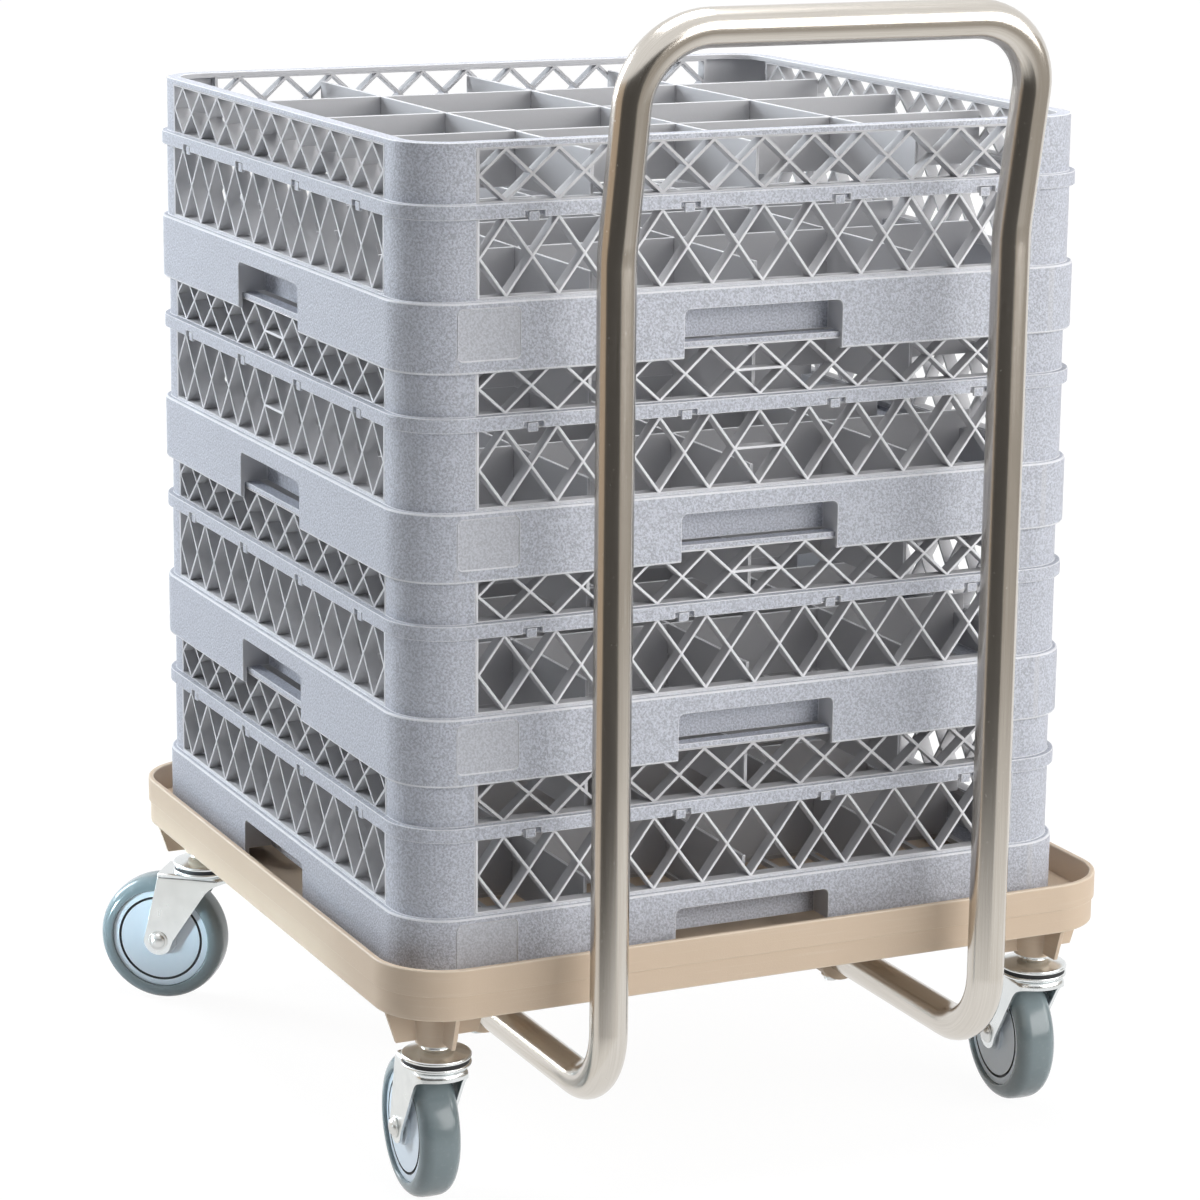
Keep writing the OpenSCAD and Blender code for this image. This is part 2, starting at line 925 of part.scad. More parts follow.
// dividers along Y, slotted from below
module rack_long_dividers(n) {
  rack_color()
    at_rack(n)
      rotate([0, 0, 90])
        dividers(false);
}

base_tray();
tray_rim();
handle_legs();
handle_bow();
handle_screws();
caster_stems();

fork(0);  // fork_fl
swivel_ring(0);  // swivel_ring_fl
axle_bolt(0);  // axle_bolt_fl
axle_nut(0);  // axle_nut_fl
wheel_core(0);  // wheel_core_fl
tyre(0);  // tyre_fl
hub_bush(0);  // hub_bush_fl

fork(1);  // fork_fr
swivel_ring(1);  // swivel_ring_fr
axle_bolt(1);  // axle_bolt_fr
axle_nut(1);  // axle_nut_fr
wheel_core(1);  // wheel_core_fr
tyre(1);  // tyre_fr
hub_bush(1);  // hub_bush_fr

fork(2);  // fork_rl
swivel_ring(2);  // swivel_ring_rl
axle_bolt(2);  // axle_bolt_rl
axle_nut(2);  // axle_nut_rl
wheel_core(2);  // wheel_core_rl
tyre(2);  // tyre_rl
hub_bush(2);  // hub_bush_rl

fork(3);  // fork_rr
swivel_ring(3);  // swivel_ring_rr
axle_bolt(3);  // axle_bolt_rr
axle_nut(3);  // axle_nut_rr
wheel_core(3);  // wheel_core_rr
tyre(3);  // tyre_rr
hub_bush(3);  // hub_bush_rr

rack_base(0);  // rack_1_base
rack_extender(0);  // rack_1_extender
rack_lattice(0);  // rack_1_lattice
rack_floor(0);  // rack_1_floor
rack_cross_dividers(0);  // rack_1_cross_dividers
rack_long_dividers(0);  // rack_1_long_dividers

rack_base(1);  // rack_2_base
rack_extender(1);  // rack_2_extender
rack_lattice(1);  // rack_2_lattice
rack_floor(1);  // rack_2_floor
rack_cross_dividers(1);  // rack_2_cross_dividers
rack_long_dividers(1);  // rack_2_long_dividers

rack_base(2);  // rack_3_base
rack_extender(2);  // rack_3_extender
rack_lattice(2);  // rack_3_lattice
rack_floor(2);  // rack_3_floor
rack_cross_dividers(2);  // rack_3_cross_dividers
rack_long_dividers(2);  // rack_3_long_dividers

rack_base(3);  // rack_4_base
rack_extender(3);  // rack_4_extender
rack_lattice(3);  // rack_4_lattice
rack_floor(3);  // rack_4_floor
rack_cross_dividers(3);  // rack_4_cross_dividers
rack_long_dividers(3);  // rack_4_long_dividers
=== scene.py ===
# %% [markdown]
# # A glass rack dolly
# Four grey dishwasher racks stand in a tan tray on casters, and a bent steel tube is there to push it by.
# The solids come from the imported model, which is loaded first and never moved. This lesson gives every
# piece its rounded edges and its finish, and lights the whole thing as a product photograph.

# %% Load the frame
import json
import math
import bmesh
import bpy
from mathutils import Matrix, Vector


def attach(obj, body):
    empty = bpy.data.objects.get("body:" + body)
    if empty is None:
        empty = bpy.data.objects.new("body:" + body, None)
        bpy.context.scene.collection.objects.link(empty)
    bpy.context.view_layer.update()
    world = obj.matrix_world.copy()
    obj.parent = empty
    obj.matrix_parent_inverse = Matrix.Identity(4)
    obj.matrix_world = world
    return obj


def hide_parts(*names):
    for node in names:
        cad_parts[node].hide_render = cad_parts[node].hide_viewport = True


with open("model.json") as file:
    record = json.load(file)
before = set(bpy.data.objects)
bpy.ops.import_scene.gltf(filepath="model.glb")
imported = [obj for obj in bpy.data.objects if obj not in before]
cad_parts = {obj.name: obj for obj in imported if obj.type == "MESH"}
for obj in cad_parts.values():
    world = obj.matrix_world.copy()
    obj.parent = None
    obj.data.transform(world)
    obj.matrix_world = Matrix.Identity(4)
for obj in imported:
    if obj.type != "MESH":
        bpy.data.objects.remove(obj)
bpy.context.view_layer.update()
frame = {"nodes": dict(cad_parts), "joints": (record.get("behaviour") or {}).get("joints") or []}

# %% [markdown]
# ## The camera
# The place of the camera was found from the lattice of the racks, whose spacing is even, so it stands where
# the photograph was taken from: a long lens, a little above the handle and to the left of it. The picture is
# cropped off the lens's middle, which is what the small shift says. A camera could be aimed at a target
# instead, but three measured angles leave nothing to guess.

# %% Camera
PICTURE = 1200
FOCAL_PIXELS = 3758.2
CAMERA_AT = (-1.13541, -2.37931, 0.97439)
CAMERA_TURN = -0.425212
CAMERA_DIP = 0.231160
CAMERA_ROLL = 0.005890
camera_data = bpy.data.cameras.new("camera")
camera_data.sensor_width = 36.0
camera_data.lens = FOCAL_PIXELS / PICTURE * camera_data.sensor_width
camera_data.shift_x = 0.0567
camera_data.shift_y = -0.0116
camera = bpy.data.objects.new("camera", camera_data)
bpy.context.scene.collection.objects.link(camera)
camera.matrix_world = (
    Matrix.Translation(CAMERA_AT)
    @ Matrix.Rotation(CAMERA_TURN, 4, "Z")
    @ Matrix.Rotation(math.pi / 2 - CAMERA_DIP, 4, "X")
    @ Matrix.Rotation(CAMERA_ROLL, 4, "Z")
)
bpy.context.scene.camera = camera
bpy.context.scene.view_settings.view_transform = "Standard"
print("camera: lens %.1f mm" % camera_data.lens)

# %% [markdown]
# ## Wires for the shaders
# A material is a set of nodes joined by wires. Writing each sum as three lines of node code hides the idea,
# so a small class wraps a socket: adding or multiplying two of them adds the Math node that does it. Every
# other node comes from one method, which sets the node's own settings first and then its sockets.

# %% Wire class
class Wire:
    """A socket of a node tree that can be used in sums and products."""

    def __init__(self, tree, socket=None):
        self.tree = tree
        self.socket = socket

    def node(self, kind, settings, sockets, out=0):
        made = self.tree.nodes.new(kind)
        for name, value in settings.items():
            setattr(made, name, value)
        for name, value in sockets.items():
            if isinstance(value, Wire):
                self.tree.links.new(value.socket, made.inputs[name])
            else:
                made.inputs[name].default_value = value
        return Wire(self.tree, made.outputs[out])

    def math(self, operation, first, second):
        return self.node("ShaderNodeMath", {"operation": operation}, {0: first, 1: second})

    def mix(self, first, second, share):
        sockets = {0: share, 6: first, 7: second}
        return self.node("ShaderNodeMix", {"data_type": "RGBA"}, sockets, out=2)

    def noise(self, where, scale, detail, rough):
        sockets = {"Vector": where, "Scale": scale, "Detail": detail, "Roughness": rough}
        return self.node("ShaderNodeTexNoise", {}, sockets)

    def between(self, low, high):
        sockets = {"Value": self, "From Min": low, "From Max": high}
        return self.node("ShaderNodeMapRange", {"clamp": True}, sockets)

    def __add__(self, other):
        return self.math("ADD", self, other)

    def __sub__(self, other):
        return self.math("SUBTRACT", self, other)

    def __rsub__(self, other):
        return self.math("SUBTRACT", other, self)

    def __mul__(self, other):
        return self.math("MULTIPLY", self, other)

    __radd__ = __add__
    __rmul__ = __mul__


print("wires: sums, differences and products")

# %% [markdown]
# ## Starting a finish
# Each finish starts from the same shader. What is the same all over the surface, such as the metal share, is
# set on the shader's own sockets. What changes over the surface is wired in afterwards.

# %% Finish helpers
def new_finish(slot, constants):
    finish = bpy.data.materials.new(slot + "_finish")
    finish["slot"] = slot
    finish.use_nodes = True
    shader = finish.node_tree.nodes["Principled BSDF"]
    for socket, value in constants.items():
        shader.inputs[socket].default_value = value
    return finish, shader, Wire(finish.node_tree)


def feed(shader, colour, rough, normal):
    for socket, wire in (("Base Color", colour), ("Roughness", rough), ("Normal", normal)):
        wire.tree.links.new(wire.socket, shader.inputs[socket])


def place_of(wire):
    return wire.node("ShaderNodeTexCoord", {}, {}, out="Object")


def stretched(wire, where, scale):
    return wire.node("ShaderNodeMapping", {}, {"Vector": where, "Scale": scale})


def own_value(wire, name, out):
    return wire.node("ShaderNodeAttribute", {"attribute_name": name}, {}, out=out)


def bumped(wire, height, strength, depth):
    sockets = {"Strength": strength, "Distance": depth, "Height": height}
    return wire.node("ShaderNodeBump", {}, sockets)


print("finish helpers ready")

# %% [markdown]
# ## Grained rack plastic
# The racks are moulded from light blue grey polypropylene. The mould was etched on the outside, so bands and
# posts are mottled with a grain of about a millimetre, while the lattices, the dividers and all inner faces
# are smooth. Separate materials would need a seam where they meet; here one fine noise drives bump, colour
# and roughness together, and two marks on the faces say where it is smooth and where there is an edge. Edges
# and the fronts of the lattice ribs are painted paler, a painted highlight for the light they catch.

# %% Rack plastic
GRAIN_SCALE = 680.0
GREY_DEEP = (0.550, 0.574, 0.640, 1)
GREY_LIGHT = (0.610, 0.634, 0.705, 1)
GREY_PIT = (0.270, 0.281, 0.318, 1)
SMOOTH_DEEP = (0.515, 0.516, 0.532, 1)
SMOOTH_LIGHT = (0.575, 0.576, 0.594, 1)
GREY_HIGHLIGHT = (0.800, 0.808, 0.835, 1)
rack_plastic, shader, wire = new_finish("rack_plastic", {"Specular IOR Level": 0.42})
where = place_of(wire)
grain = wire.noise(where, GRAIN_SCALE, 2.0, 0.60)
cloud = wire.noise(where, 7.0, 3.0, 0.55)
smear = wire.noise(stretched(wire, where, (9.0, 9.0, 55.0)), 1.0, 3.0, 0.6)
edge = own_value(wire, "edge", "Fac")
smooth = own_value(wire, "smooth", "Fac")
etched = 1.0 - 0.92 * smooth
plain = wire.mix(GREY_DEEP, GREY_LIGHT, cloud)
pitted = wire.mix(plain, GREY_PIT, 0.62 * grain.between(0.61, 0.38))
moulded = wire.mix(SMOOTH_DEEP, SMOOTH_LIGHT, cloud)
toned = wire.mix(pitted, moulded, smooth)
# painted highlight: marked edges and lattice rib fronts are painted toward a pale grey
pale = wire.mix(toned, GREY_HIGHLIGHT, 0.80 * edge)
feed(
    shader,
    colour=pale,
    rough=0.40 + 0.16 * grain + 0.12 * smear - 0.06 * edge,
    normal=bumped(wire, etched * grain, 0.60, 0.0010),
)
print("rack plastic:", len(wire.tree.nodes), "nodes")

# %% [markdown]
# ## Tan tray plastic
# The tray is the same kind of moulding in tan, with a finer grain. A tray is dragged over thresholds, so it
# has faint scuffs that run along its sides, and its edges are painted a little paler, a painted highlight.
# The scuffs are a noise that is squeezed in height, which draws it out into level lines.

# %% Tray plastic
TAN_DEEP = (0.590, 0.465, 0.345, 1)
TAN_LIGHT = (0.650, 0.520, 0.395, 1)
TAN_SCUFF = (0.690, 0.595, 0.490, 1)
TAN_HIGHLIGHT = (0.740, 0.640, 0.520, 1)
tray_plastic, shader, wire = new_finish("tray_plastic", {"Specular IOR Level": 0.40})
where = place_of(wire)
grain = wire.noise(where, 1300.0, 2.0, 0.55)
cloud = wire.noise(where, 11.0, 4.0, 0.6)
lines = wire.noise(stretched(wire, where, (14.0, 14.0, 420.0)), 1.0, 4.0, 0.65)
scuff = lines.between(0.56, 0.80)
edge = own_value(wire, "edge", "Fac")
plain = wire.mix(TAN_DEEP, TAN_LIGHT, cloud)
scuffed = wire.mix(plain, TAN_SCUFF, 0.45 * scuff)
# painted highlight: marked edges are painted toward a pale tan
pale = wire.mix(scuffed, TAN_HIGHLIGHT, 0.50 * edge)
feed(
    shader,
    colour=pale,
    rough=0.44 + 0.12 * grain + 0.14 * scuff - 0.08 * edge,
    normal=bumped(wire, grain + 0.6 * scuff, 0.28, 0.00025),
)
print("tray plastic:", len(wire.tree.nodes), "nodes")

# %% [markdown]
# ## Satin steel tube
# The handle is drawn stainless tube. Drawing and polishing leave hair lines that run along the tube, round
# its bends as well, so the lines can't follow X, Y or Z. The tube piece carries its own coordinates for
# this: two across the section and one along the run.

# %% Handle steel
STEEL_DULL = (0.560, 0.520, 0.465, 1)
STEEL_WARM = (0.660, 0.620, 0.565, 1)
STEEL_WORN = (0.430, 0.385, 0.325, 1)
STEEL_BRIGHT = (0.800, 0.775, 0.740, 1)
handle_steel, shader, wire = new_finish("handle_steel", {"Metallic": 1.0})
run = own_value(wire, "run", "Vector")
hair = wire.noise(stretched(wire, run, (2600.0, 2600.0, 16.0)), 1.0, 3.0, 0.6)
haze = wire.noise(stretched(wire, run, (60.0, 60.0, 9.0)), 1.0, 3.0, 0.55)
pits = wire.noise(run, 700.0, 2.0, 0.5).between(0.68, 0.80)
warm = wire.mix(STEEL_DULL, STEEL_WARM, haze)
drawn = wire.noise(stretched(wire, run, (1500.0, 1500.0, 22.0)), 1.0, 2.0, 0.5)
worn = wire.mix(warm, STEEL_WORN, 0.28 * drawn.between(0.36, 0.66))
lined = wire.mix(worn, STEEL_BRIGHT, 0.45 * hair)
feed(
    shader,
    colour=lined,
    rough=0.11 + 0.12 * hair + 0.07 * haze + 0.10 * pits,
    normal=bumped(wire, hair + 0.3 * pits, 0.10, 0.00006),
)
print("handle steel:", len(wire.tree.nodes), "nodes")

# %% [markdown]
# ## Zinc and bolts
# The casters are pressed from sheet and plated with bright zinc, which is cloudy rather than mirror bright.
# Bolts and screws are turned and plated too, a little duller. The two differ in tone and gloss alone, so one
# function makes both.

# %% Metal finishes of the casters
def plated(name, dull, bright, least_rough):
    finish, shader, wire = new_finish(name, {"Metallic": 1.0})
    where = place_of(wire)
    cloud = wire.noise(where, 70.0, 4.0, 0.6)
    fine = wire.noise(where, 1500.0, 2.0, 0.5)
    scratch = wire.noise(stretched(wire, where, (900.0, 120.0, 120.0)), 1.0, 2.0, 0.6)
    edge = own_value(wire, "edge", "Fac")
    # painted highlight: marked edges are painted toward the bright tone
    tone = wire.mix(wire.mix(dull, bright, cloud), bright, 0.5 * edge)
    feed(
        shader,
        colour=tone,
        rough=least_rough + 0.16 * cloud + 0.08 * scratch,
        normal=bumped(wire, 0.6 * fine + 0.4 * scratch, 0.10, 0.00008),
    )
    print(name + ":", len(wire.tree.nodes), "nodes")
    return finish


zinc_plate = plated("zinc_plate", (0.66, 0.69, 0.70, 1), (0.84, 0.86, 0.86, 1), 0.12)
bolt_steel = plated("bolt_steel", (0.55, 0.56, 0.56, 1), (0.78, 0.78, 0.76, 1), 0.20)

# %% [markdown]
# ## Tyres, wheel cores, seals and bushes
# The tyre is a blue grey non-marking rubber with a soft gloss, the core a paler plastic, and the seals and
# bushes are nearly black. Dust lies on all of them in faint spots, and their marked edges are painted toward
# the same dust tone, a painted highlight. They are turned shapes, so their pattern
# reads the coordinates that the piece had before it was put on its axle: that way it turns with the wheel.
# Faces marked below zero are painted dark, a painted shade in a groove.

# %% Rubber and core finishes
GROOVE_PAINTED_SHADE = (0.045, 0.050, 0.056, 1)


def wheel_finish(name, deep, light, dust_and_highlight, rough):
    finish, shader, wire = new_finish(name, {"Specular IOR Level": 0.45})
    own = own_value(wire, "run", "Vector")
    cloud = wire.noise(own, 42.0, 4.0, 0.6)
    fine = wire.noise(own, 1100.0, 3.0, 0.6)
    spots = wire.noise(own, 210.0, 3.0, 0.65).between(0.55, 0.78)
    edge = own_value(wire, "edge", "Fac")
    tone = wire.mix(deep, light, cloud)
    # dust lies in spots; marked edges are painted toward the dust tone as a painted highlight
    dusted_and_highlighted = wire.mix(tone, dust_and_highlight, 0.30 * spots + 0.28 * edge)
    # painted shade: faces marked below zero, in the groove, are painted dark
    shaded = wire.mix(dusted_and_highlighted, GROOVE_PAINTED_SHADE, edge.between(-0.1, -1.0))
    feed(
        shader,
        colour=shaded,
        rough=rough + 0.14 * spots + 0.06 * fine,
        normal=bumped(wire, fine, 0.10, 0.00010),
    )
    print(name + ":", len(wire.tree.nodes), "nodes")
    return finish


tyre = wheel_finish(
    "tyre",
    deep=(0.190, 0.240, 0.255, 1),
    light=(0.240, 0.292, 0.308, 1),
    dust_and_highlight=(0.330, 0.375, 0.390, 1),
    rough=0.13,
)
wheel_core = wheel_finish(
    "wheel_core",
    deep=(0.690, 0.762, 0.832, 1),
    light=(0.750, 0.818, 0.880, 1),
    dust_and_highlight=(0.800, 0.845, 0.880, 1),
    rough=0.33,
)
seal_black = wheel_finish(
    "seal_black",
    deep=(0.012, 0.012, 0.014, 1),
    light=(0.022, 0.022, 0.025, 1),
    dust_and_highlight=(0.050, 0.050, 0.052, 1),
    rough=0.55,
)
bush_plastic = wheel_finish(
    "bush_plastic",
    deep=(0.060, 0.062, 0.068, 1),
    light=(0.085, 0.088, 0.095, 1),
    dust_and_highlight=(0.150, 0.152, 0.155, 1),
    rough=0.45,
)

# %% [markdown]
# ## Turning a mesh into a piece
# A finished mesh becomes an object at the origin with its place in its vertices, exactly as the solids are.
# It rides on a body, stands for the solids it replaces, which are hidden, and takes a finish that carries
# the name of its material slot. Weighted normals keep the large flats flat, so that only the rounded edges
# catch the light.

# %% Piece maker
SHARP_ANGLE = math.radians(50)


def make_piece(bm, name, body, finish, *nodes):
    for face in bm.faces:
        face.smooth = True
    for line in bm.edges:
        line.smooth = line.is_manifold and line.calc_face_angle(0.0) < SHARP_ANGLE
    mesh = bpy.data.meshes.new(name)
    bm.to_mesh(mesh)
    bm.free()
    if "custom_normal" in mesh.attributes:
        mesh.attributes.remove(mesh.attributes["custom_normal"])
    mesh.materials.append(finish)
    piece = bpy.data.objects.new(name, mesh)
    bpy.context.scene.collection.objects.link(piece)
    flat = piece.modifiers.new("keep flats flat", "WEIGHTED_NORMAL")
    flat.keep_sharp = True
    flat.weight = 60
    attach(piece, body)
    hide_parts(*nodes)


print("piece maker ready")

# %% [markdown]
# ## Rounding the edges of a solid
# No moulded or pressed edge is knife sharp, and it is the thin bright line along a rounded edge that makes a
# render look real. A copy of a solid is loose triangles, so they are joined first, and the flat faces are
# made whole again. Then the sharp edges are bevelled, and the new faces are marked, which the finishes read
# and paint paler, a painted highlight.
# A bevel spoils a thin sheet full of holes, so lattices have the rims of their broad faces inset instead.

# %% Copies and bevels
MM = 0.001
JOIN_REACH = 0.002
FLAT_ANGLE = math.radians(0.4)
BEVEL_ANGLE = math.radians(38)


def joined_copy(node):
    bm = bmesh.new()
    bm.from_mesh(frame["nodes"][node].data)
    bmesh.ops.remove_doubles(bm, verts=bm.verts, dist=JOIN_REACH * MM)
    return bm


def whole_copy(node):
    bm = joined_copy(node)
    bmesh.ops.dissolve_limit(bm, angle_limit=FLAT_ANGLE, verts=bm.verts, edges=bm.edges)
    return bm


def edge_mark(bm):
    return bm.faces.layers.float.get("edge") or bm.faces.layers.float.new("edge")


def is_sharp(line):
    return line.is_manifold and line.calc_face_angle(0.0) > BEVEL_ANGLE


def round_edges(bm, width, segments=2, picked=None, painted_highlight=1.0):
    mark = edge_mark(bm)
    sharp = [line for line in bm.edges if is_sharp(line) and (picked is None or picked(line))]
    made = bmesh.ops.bevel(
        bm,
        geom=sharp,
        offset=width * MM,
        affect="EDGES",
        segments=segments,
        profile=0.5,
        material=-1,
        clamp_overlap=False,
        loop_slide=False,
    )
    # new bevel faces get the painted-highlight value, which the finishes paint paler
    for face in made["faces"]:
        face[mark] = painted_highlight
    return len(sharp)


print("bevels: edges sharper than %.0f degrees" % math.degrees(BEVEL_ANGLE))

# %% Pierced sheets and marks
def soften_sheet(bm, width, least_area):
    """Takes the edges off the broad upright faces of flat pierced sheets, and marks those faces for a
    painted highlight.
    """
    mark = edge_mark(bm)
    planes = {}
    for face in bm.faces:
        n = face.normal
        if abs(n.z) < 0.01 and max(abs(n.x), abs(n.y)) > 0.999:
            key = (round(n.x), round(n.y), round(n.dot(face.verts[0].co) / MM, 1))
            planes.setdefault(key, []).append(face)
    for (x, y, _), faces in planes.items():
        if sum(face.calc_area() for face in faces) < least_area * MM * MM:
            continue
        ring = bmesh.ops.inset_region(
            bm, faces=faces, thickness=width * MM, use_boundary=True, use_even_offset=True,
        )
        flat = {v for face in faces for v in face.verts}
        rim = {v for face in ring["faces"] for v in face.verts} - flat
        bmesh.ops.translate(bm, vec=Vector((x, y, 0)) * -width * MM, verts=list(rim))
        # the broad faces and their rims are marked for the painted highlight
        for face in ring["faces"] + faces:
            face[mark] = 1.0


def mark_smooth(bm, share):
    mark = bm.faces.layers.float.new("smooth")
    for face in bm.faces:
        face[mark] = share(face)


def from_side(point, half, radius):
    """How far a point is outside a square with rounded corners, seen from above."""
    along = abs(point.x) - (half - radius) * MM
    across = abs(point.y) - (half - radius) * MM
    if along > 0 and across > 0:
        return math.hypot(along, across) - radius * MM
    return max(along, across) - radius * MM


print("sheet and mark helpers ready")

# %% [markdown]
# ## The racks
# A rack is two mouldings clipped together, each with four lattices, over a floor grid, with dividers inside.
# All of them could be modelled again, but the solids already have the right shape, so they are copied and
# rounded. The band at the foot gets a larger rounding along its lower and upper outer edges than the rest,
# because that is what shows at the corner of the stack.

# %% Rack sizes and marks
RACK_FOOT, RACK_PITCH = 160.5, 134.3
RACK_HALF, RACK_CORNER = 250.0, 40.0
RACK_MIDDLE = Vector((-6.0, 2.0, 0.0)) * MM
PANEL_DEPTH = 0.6
PANEL_Y = RACK_MIDDLE.y - (RACK_HALF - PANEL_DEPTH) * MM
PANEL_SMOOTH = 0.35
# heights above the foot of a rack, and the rounding of the band there
BAND_ROUNDS = ((0.0, 1.6), (45.5, 1.3))
RACK_ROUND = 0.5
LATTICE_ROUND, LATTICE_AREA = 0.4, 3000.0
INNER_ROUNDS = (("floor", 0.4), ("cross_dividers", 0.5), ("long_dividers", 0.5))


def on_outer_ring(line, height):
    ends = [v.co - RACK_MIDDLE for v in line.verts]
    level = all(abs(c.z - height) < 0.02 * MM for c in ends)
    return level and all(from_side(c, RACK_HALF, RACK_CORNER) > -0.2 * MM for c in ends)


def smooth_share(face):
    """Inner faces are smooth, and the plain panel in the band is partly so."""
    middle = face.calc_center_median()
    out = (middle - RACK_MIDDLE) * Vector((1, 1, 0))
    if face.normal.dot(out.normalized()) < -0.15:
        return 1.0
    on_panel = face.normal.y < -0.9 and abs(middle.y - PANEL_Y) < 0.05 * MM
    return PANEL_SMOOTH if on_panel else 0.0


print("rack feet: every %.1f mm from %.1f mm" % (RACK_PITCH, RACK_FOOT))

# %% Racks
for number in range(1, 5):
    body = "rack_%d" % number
    foot = (RACK_FOOT + RACK_PITCH * (number - 1)) * MM
    bm = whole_copy(body + "_base")
    for height, width in BAND_ROUNDS:
        round_edges(bm, width, 3, lambda line: on_outer_ring(line, foot + height * MM))
    count = round_edges(bm, RACK_ROUND)
    mark_smooth(bm, smooth_share)
    make_piece(bm, body + "_moulding", body, rack_plastic, body + "_base")
    bm = whole_copy(body + "_extender")
    count += round_edges(bm, RACK_ROUND)
    mark_smooth(bm, smooth_share)
    make_piece(bm, body + "_extender_moulding", body, rack_plastic, body + "_extender")
    bm = joined_copy(body + "_lattice")
    soften_sheet(bm, LATTICE_ROUND, LATTICE_AREA)
    mark_smooth(bm, lambda face: 1.0)
    make_piece(bm, body + "_lattice_moulding", body, rack_plastic, body + "_lattice")
    for part, width in INNER_ROUNDS:
        bm = whole_copy(body + "_" + part)
        count += round_edges(bm, width)
        mark_smooth(bm, lambda face: 1.0)
        make_piece(bm, body + "_" + part + "_moulding", body, rack_plastic, body + "_" + part)
    print(body + ":", count, "edges rounded")

# %% [markdown]
# ## The tray
# The rim and the deck look like one moulding on the real tray, but they are two solids here. The rim has a
# narrower rounding at the parting step in its side than elsewhere, and that line gets a stronger painted
# highlight than the other edges. The deck is bevelled only inside the rim, so that no groove opens where the
# two meet.

# %% Tray
STEP_Z, STEP_ROUND, STEP_HIGHLIGHT = 162.0, 0.4, 2.0
RIM_ROUND, STEP_CLEAR = 1.1, 2.0
DECK_HALF, DECK_CORNER, DECK_ROUND = 267.0, 44.0, 0.4


def near_step(line, reach):
    return all(abs(v.co.z - STEP_Z * MM) < reach * MM for v in line.verts)


def inside_rim(line):
    return all(from_side(v.co, DECK_HALF, DECK_CORNER) < -0.1 * MM for v in line.verts)


bm = whole_copy("tray_rim")
# the parting step line gets a stronger painted highlight than the other edges
count = round_edges(bm, STEP_ROUND, 2, lambda line: near_step(line, 0.05), STEP_HIGHLIGHT)
count += round_edges(bm, RIM_ROUND, 3, lambda line: not near_step(line, STEP_CLEAR))
print("tray rim:", count, "edges rounded")
make_piece(bm, "tray_side", "dolly", tray_plastic, "tray_rim")
bm = whole_copy("base_tray")
print("tray deck:", round_edges(bm, DECK_ROUND, 2, inside_rim), "edges rounded")
make_piece(bm, "tray_deck", "dolly", tray_plastic, "base_tray")

# %% [markdown]
# ## The push handle
# The handle is one tube, bent six times. A curve with a round bevel could make it, but modelling it as it is
# bent gives every ring a place along the run: start with a ring, pull it straight for a length, then turn it
# about the centre of a bend. Each new ring notes how far along the tube it is, which is what the hair lines
# of the steel follow.

# %% Tube bending
class Bender:
    """Grows a tube from a ring, straight or about the centre of a bend."""

    def __init__(self, start, heading, radius, sides=48):
        self.bm = bmesh.new()
        self.at = start.copy()
        self.heading = heading.normalized()
        self.length = 0.0
        turn = Vector((0, 0, 1)).rotation_difference(self.heading).to_matrix().to_4x4()
        self.note = self.bm.verts.layers.float_vector.new("run")
        made = bmesh.ops.create_circle(self.bm, segments=sides, radius=radius)
        for v in made["verts"]:
            v[self.note] = v.co
        bmesh.ops.transform(self.bm, matrix=Matrix.Translation(start) @ turn, verts=made["verts"])
        self.ring = list(self.bm.edges)

    def keep(self, geom, length):
        self.length += length
        self.ring = [g for g in geom if isinstance(g, bmesh.types.BMEdge)]
        for v in {v for line in self.ring for v in line.verts}:
            v[self.note] = (v[self.note].x, v[self.note].y, self.length)

    def straight(self, length):
        made = bmesh.ops.extrude_edge_only(self.bm, edges=self.ring)["geom"]
        verts = [g for g in made if isinstance(g, bmesh.types.BMVert)]
        bmesh.ops.translate(self.bm, vec=self.heading * length, verts=verts)
        self.at += self.heading * length
        ends = set(verts)
        self.keep([g for g in made if isinstance(g, bmesh.types.BMEdge) and set(g.verts) <= ends], length)

    def bend(self, towards, radius, angle, steps):
        centre = self.at + towards.normalized() * radius
        axis = self.heading.cross(towards).normalized()
        part = angle / steps
        for _ in range(steps):
            made = bmesh.ops.spin(self.bm, geom=self.ring, cent=centre, axis=axis, angle=part, steps=1)
            turn = Matrix.Rotation(part, 3, axis)
            self.at = centre + turn @ (self.at - centre)
            self.heading = turn @ self.heading
            self.keep(made["geom_last"], radius * part)


print("tube bender ready")

# %% Push handle
TUBE_R = 12.5 * MM
LEG_X, LEG_Y = 141.0 * MM, -307.5 * MM
RUN_Z, RUN_END = 91.0 * MM, -46.0 * MM
BEND_R, KINK_R = 48.0 * MM, 90.0 * MM
KINK_Z, UPPER = 635.0 * MM, 85.3 * MM
HANDLE_LEAN = math.radians(11)
SQUARE = math.pi / 2
BEND_STEPS, KINK_STEPS = 14, 6
out, up, right = Vector((0, -1, 0)), Vector((0, 0, 1)), Vector((1, 0, 0))
lean_back = Matrix.Rotation(HANDLE_LEAN, 3, "X")
under_tray = RUN_END - LEG_Y - BEND_R
upright = KINK_Z - RUN_Z - BEND_R
tube = Bender(Vector((-LEG_X, RUN_END, RUN_Z)), out, TUBE_R)
tube.straight(under_tray)
tube.bend(up, BEND_R, SQUARE, BEND_STEPS)
tube.straight(upright)
tube.bend(out, KINK_R, HANDLE_LEAN, KINK_STEPS)
tube.straight(UPPER)
tube.bend(right, BEND_R, SQUARE, BEND_STEPS)
tube.straight(2 * (LEG_X - BEND_R))
tube.bend(-(lean_back @ up), BEND_R, SQUARE, BEND_STEPS)
tube.straight(UPPER)
tube.bend(lean_back @ out, KINK_R, HANDLE_LEAN, KINK_STEPS)
tube.straight(upright)
